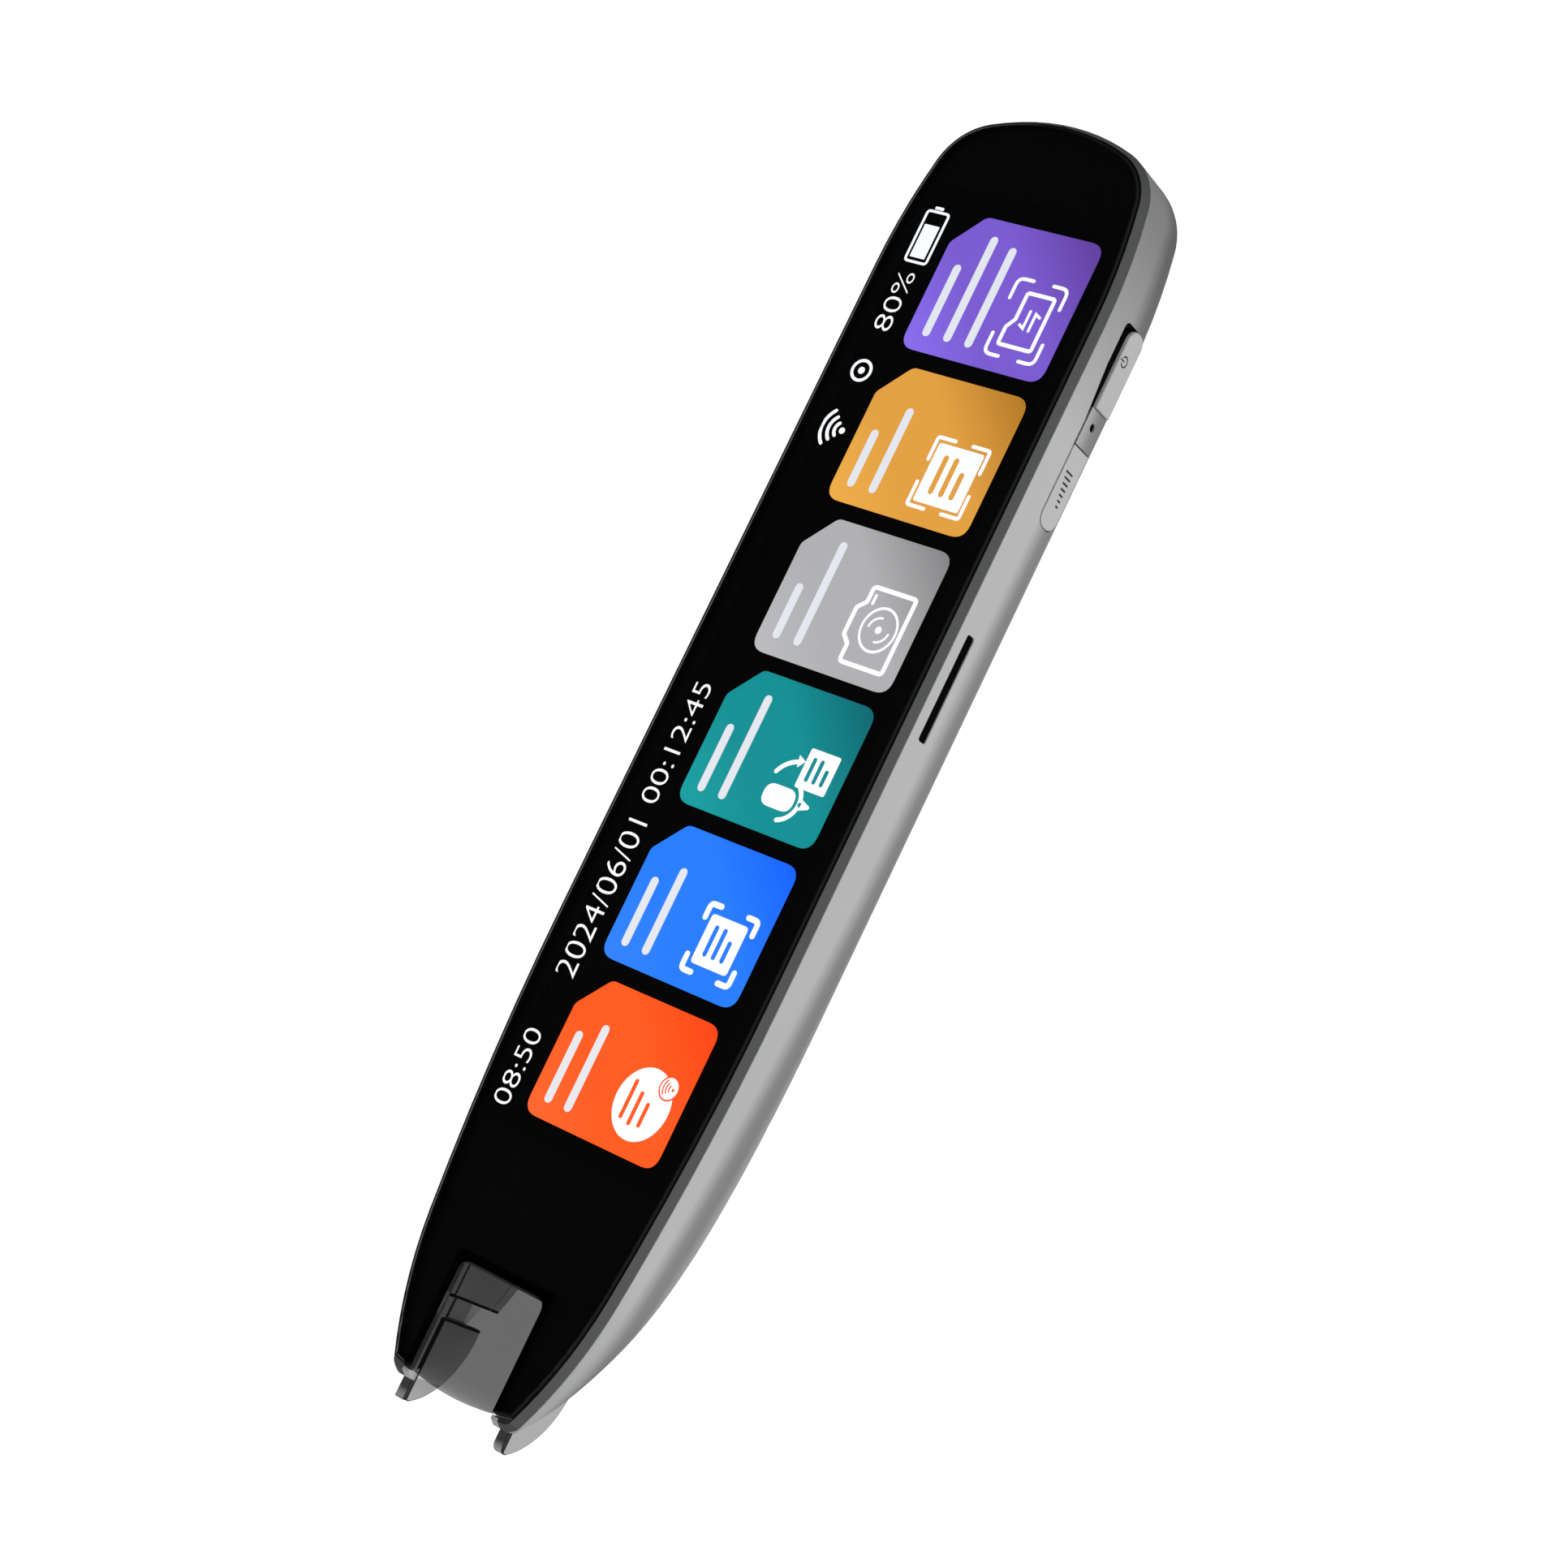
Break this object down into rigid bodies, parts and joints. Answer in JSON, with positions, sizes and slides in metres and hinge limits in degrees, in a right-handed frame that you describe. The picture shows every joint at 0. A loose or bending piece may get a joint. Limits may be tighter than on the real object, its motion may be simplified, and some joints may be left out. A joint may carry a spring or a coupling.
{
  "type": "handheld translator",
  "caption": "Pen-shaped scanning translator with a full-face display, a see-through scanning nose with a sprung two-fin trigger, side keys, a card slot, a rear camera and a speaker grille.",
  "frame": {"origin": "centre of the bounding box's footprint, at the flat of the back that it lies on; the proud power key shifts the box by 0.15 mm", "axes": "+X from the scanning nose to the top end, +Z out of the screen, -Y the side with the keys and the card slot"},
  "size_m": [0.1456, 0.0295, 0.0137],
  "materials": {
    "shell": "satin, very fine texture",
    "frame": "satin with a bright bevel",
    "key": "satin",
    "trigger": "satin",
    "glass": "gloss black print behind clear glass, with a clear window at the nose",
    "display": "gloss",
    "backlight": "milky sheet",
    "chassis": "die-cast",
    "steel": "nickel plated",
    "spring_steel": "spring strip",
    "dark_plastic": "matt moulded",
    "camera_black": "black with a coated lens",
    "led": "potted",
    "clear_window": "clear acrylic",
    "camera_glass": "gloss black print with a clear centre",
    "lens": "coated lens, with a blue and violet sheen",
    "rubber": "soft",
    "foam": "adhesive foam",
    "board": "solder mask",
    "cell": "laminated pouch",
    "flex": "polyimide",
    "copper": "etched strip",
    "mesh": "acoustic cloth"
  },
  "bodies": {
    "case": {"rear_housing": "shell", "front_frame": "frame", "front_glass": "glass", "display_panel": "display", "backlight": "backlight", "chassis": "chassis", "chassis_screws": "steel", "nose_channel": "dark_plastic", "trigger_springs": "spring_steel", "trigger_switch": "dark_plastic", "scan_camera": "camera_black", "scan_leds": "led", "scan_window": "clear_window", "rocker_pin": "steel", "mic_bridge": "shell", "mic_boot": "rubber", "microphone": "steel", "key_switches": "steel", "key_board": "board", "card_socket": "steel", "card_board": "board", "battery_pad": "foam", "battery": "cell", "main_board": "board", "shield_can": "steel", "display_flex": "flex", "antenna": "copper", "usb_socket": "steel", "camera_window": "camera_glass", "rear_camera": "camera_black", "rear_lens": "lens", "speaker_mesh": "mesh", "speaker_gasket": "foam", "speaker": "dark_plastic"},
    "power_key": {"power_key": "key"},
    "volume_key": {"volume_key": "key"},
    "scan_trigger": {"scan_trigger": "trigger"}
  },
  "joints": [
    {"name": "trigger_slide", "type": "slide", "parent": "case", "child": "scan_trigger", "axis": [1, 0, 0], "range_m": [0, 0.0018], "stiffness_N_per_m": 900, "springref_m": -0.0006, "deforming": ["trigger_springs"]},
    {"name": "power_press", "type": "slide", "parent": "case", "child": "power_key", "axis": [0, 1, 0], "range_m": [0, 0.00035], "stiffness_N_per_m": 3000, "springref_m": -0.0001},
    {"name": "volume_rock", "type": "hinge", "parent": "case", "child": "volume_key", "pos_m": [0.03722, -0.013, 0.00645], "axis": [0, 0, 1], "range_deg": [-2, 2], "stiffness_Nm_per_rad": 0.05}
  ]
}
